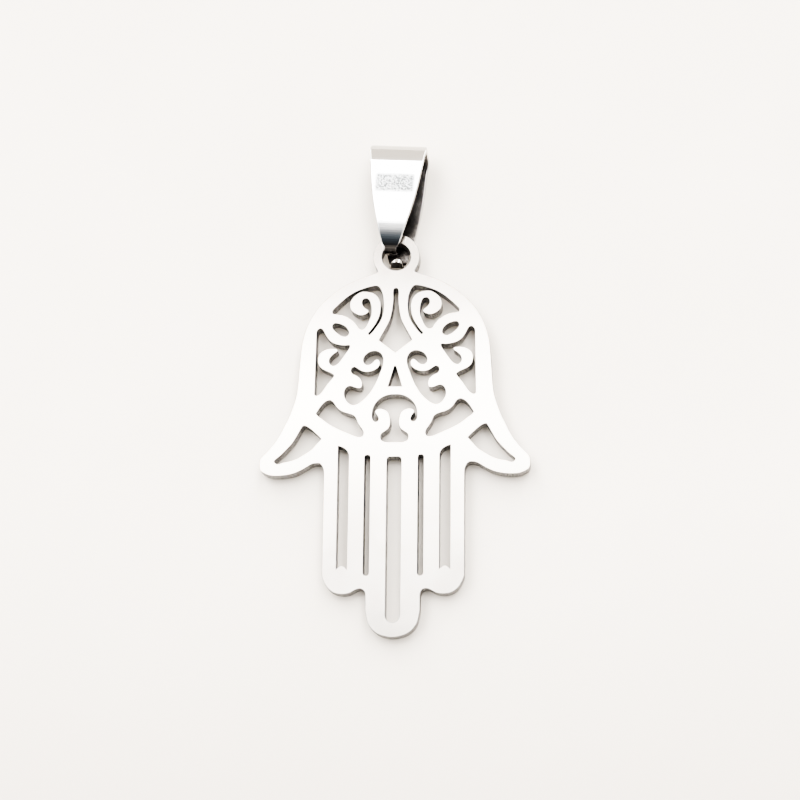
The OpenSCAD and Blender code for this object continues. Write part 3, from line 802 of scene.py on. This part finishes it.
def mirror_steel(grain, clouds):
    """The bail: a rippled mirror polish outside with one rougher patch that carries a painted reflection of
    the camera, duller inside.

    Painted shade darkens the front tongue's end, down in the eye, and the inside of the back leaf near the
    eye, and dims the outside from the crown of the fold on."""
    material, tree, shader = new_material("mirror polished strip")
    run = own_place(tree, "strip_run")
    across, along, depth = put(tree, "ShaderNodeSeparateXYZ", {0: run}).outputs
    lines = use_group(tree, grain, {"Place": run, "Lines per mm": 14.0, "Line Length mm": 2.5})
    smears = use_group(tree, clouds, {"Place": run, "Size mm": 2.5})["Mask"]
    mottle = use_group(tree, clouds, {"Place": run, "Size mm": 0.5})["Mask"]
    inside = between(tree, depth, inside_from, inside_full)
    # Painted reflection of the camera, in a patch on the front leaf that is also rougher
    reflection_patch = reflection_patch_mask(tree, run, across, along, math_node(tree, "SUBTRACT", 1.0, inside))
    # Painted shade: the front tongue's end, down in the eye, and the inside of the back leaf near the eye
    # are darkened, and a little rougher
    back_leaf_shade = between(tree, along, inside_shade_from, inside_shade_full)
    front_end_shade = between(tree, along, end_shade_from, end_shade_full)
    painted_shade = math_node(tree, "MAXIMUM", math_node(tree, "MULTIPLY", inside, back_leaf_shade), front_end_shade)

    outer = colour_mix(tree, smears, *mirror_tones)
    # Painted shade: from the crown of the fold on, the outside is darker and warmer, standing in for the
    # dimmer beige reflection there
    outer = colour_mix(tree, between(tree, along, fold_shade_from, fold_shade_full), outer, fold_shade_tone)
    outer = colour_mix(tree, reflection_patch, outer, reflection_patch_tone)
    clean = colour_mix(tree, inside, outer, colour_mix(tree, lines["Mask"], *inner_tones))
    rough = ranged(tree, smears, 0.06, 0.10)
    for mask, rougher in ((lines["Mask"], 0.06), (inside, 0.08), (reflection_patch, 0.22), (painted_shade, 0.03)):
        rough = math_node(tree, "MULTIPLY_ADD", mask, rougher, rough)
    height = math_node(tree, "MULTIPLY_ADD", reflection_patch, -1.0, lines["Height"])
    over_width = stretched(tree, run, (0.8 / MM, 5.0 / MM, 1.0 / MM))
    ripples = noise(tree, {"Vector": over_width, "Scale": 1.0, "Detail": 3.0, "Roughness": 0.6})
    finish = {
        "Metallic": 1.0,
        "Base Color": colour_mix(tree, painted_shade, clean, colour_mix(tree, mottle, *painted_shade_tones)),
        "Roughness": rough,
        "Normal": bumped(tree, ripples, 0.6, 0.006 * MM, Normal=bumped(tree, height, 0.04, 0.003 * MM)),
    }
    fill(tree, shader, finish)
    return material


def pale_board(clouds):
    """The pale surface that the pendant lies on."""
    material, tree, shader = new_material("pale board")
    place = object_place(tree)
    tone = use_group(tree, clouds, {"Place": place, "Size mm": 30.0})["Mask"]
    towards_back = put(tree, "ShaderNodeSeparateXYZ", {0: place}).outputs["Y"]
    # Painted shade: the board is darker towards the front
    shade_fade = between(tree, towards_back, board_darker_at, board_lighter_at)
    fibres = noise(tree, {"Vector": place, "Scale": 2.5 / MM, "Detail": 3.0})
    finish = {
        "Base Color": colour_mix(tree, shade_fade, board_front_shade_tone, colour_mix(tree, tone, *board_tones)),
        "Roughness": 0.7,
        "Normal": bumped(tree, fibres, 0.05, 0.02 * MM),
    }
    fill(tree, shader, finish)
    return material


# Board, light and camera


def lay_board(material):
    half = board_size / 2
    mesh = bpy.data.meshes.new("board")
    corners = [(-half, -half, 0), (half, -half, 0), (half, half, 0), (-half, half, 0)]
    mesh.from_pydata(corners, [], [(0, 1, 2, 3)])
    mesh.materials.append(material)
    board = add_object("board", mesh)


def light_room():
    """Bands of light from front to back, windows and side fills among them, and a plain bright backdrop."""
    world = bpy.data.worlds.new("soft white room")
    bpy.context.scene.world = world
    world.use_nodes = True
    tree = world.node_tree
    way = put(tree, "ShaderNodeTexCoord").outputs["Generated"]
    part = put(tree, "ShaderNodeSeparateXYZ", {0: way}).outputs
    along = math_node(tree, "ARCTAN2", part["Y"], math_node(tree, "MAXIMUM", part["Z"], room_least_up))
    sideways = math_node(tree, "ARCSINE", part["X"])

    quarter = math.pi / 2
    share = step(tree, "ShaderNodeMapRange", {"Value": along, "From Min": -quarter, "From Max": quarter})
    bands = put(tree, "ShaderNodeValToRGB", {"Fac": share})
    stops = []
    for angle, light, warmth in ROOM_LIGHT:
        level = light / room_light_top
        stops.append((angle / 180 + 0.5, (level * (1 + warmth), level, level * (1 - warmth))))
    fill_ramp(bands.color_ramp, stops)
    brighter = {0: bands.outputs[0], "Scale": room_light_top}
    lit = step(tree, "ShaderNodeVectorMath", brighter, operation="SCALE")

    for near, far, light, dark, full in WINDOWS:
        outward = math.copysign(window_soft, far)
        opening = between(tree, sideways, math.radians(near - outward), math.radians(near))
        closing = between(tree, sideways, math.radians(far + outward), math.radians(far))
        fading = between(tree, along, math.radians(dark), math.radians(full))
        window = math_node(tree, "MULTIPLY", math_node(tree, "MULTIPLY", opening, closing), fading)
        lit = colour_mix(tree, window, lit, (light, light, light))
    seen = colour_mix(tree, put(tree, "ShaderNodeLightPath").outputs["Is Camera Ray"], lit, room_seen)
    tree.links.new(seen, tree.nodes["Background"].inputs["Color"])
    shown = bpy.context.scene.view_settings
    shown.view_transform = "AgX"
    shown.look = "AgX - High Contrast"


def hang_panel(eye):
    """A wide soft lamp over the pendant, brightest towards its back edge."""
    data = bpy.data.lights.new("light panel", "AREA")
    data.shape = "RECTANGLE"
    data.size = panel_right - panel_left
    data.size_y = panel_back - panel_front
    data.energy = panel_light * math.pi * data.size * data.size_y
    data.use_nodes = True
    tree = data.node_tree
    where = put(tree, "ShaderNodeNewGeometry").outputs["Parametric"]
    share = put(tree, "ShaderNodeSeparateXYZ", {0: where}).outputs["Y"]
    rise = put(tree, "ShaderNodeValToRGB", {"Fac": share})
    fill_ramp(rise.color_ramp, [(place, (light, light, light)) for place, light in PANEL_RISE])
    tree.links.new(rise.outputs[0], tree.nodes["Emission"].inputs["Strength"])
    lamp = add_object("light panel", data)
    middle = Vector(((panel_left + panel_right) / 2, (panel_front + panel_back) / 2, panel_height))
    lamp.location = eye + middle
    lamp.visible_camera = False


def set_camera(plate_place):
    """The camera at the photograph's angle to the plate."""
    data = bpy.data.cameras.new("camera")
    data.lens = camera_lens
    data.clip_start = camera_clip_start
    camera = add_object("camera", data)
    shade_fade = Vector((
        math.sin(camera_tilt) * math.cos(camera_azimuth),
        math.sin(camera_tilt) * math.sin(camera_azimuth),
        math.cos(camera_tilt),
    ))
    aim = Vector((aim_across, -aim_below_eye, 0))
    right = Vector((0, 1, 0)).cross(shade_fade).normalized()
    turn = Matrix((right, shade_fade.cross(right), shade_fade)).transposed().to_4x4()
    stand = Matrix.Translation(aim + camera_distance * shade_fade) @ turn @ Matrix.Rotation(camera_roll, 4, "Z")
    camera.matrix_world = plate_place @ stand
    bpy.context.scene.camera = camera


grain = grain_group()
clouds = cloud_group()
plate, plate_place, plate_t, eye_r = build_plate(
    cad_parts["hand_plate"], satin_steel(grain, clouds), cut_wall_steel(clouds)
)
bail = build_bail(plate_place, plate_t, eye_r, mirror_steel(grain, clouds))
for piece, node, slot in ((plate, "hand_plate", "satin_steel"), (bail, "bail", "polished_steel")):
    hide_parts(node)
    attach(piece, "root")

lay_board(pale_board(clouds))
light_room()
hang_panel(plate_place.translation)
set_camera(plate_place)
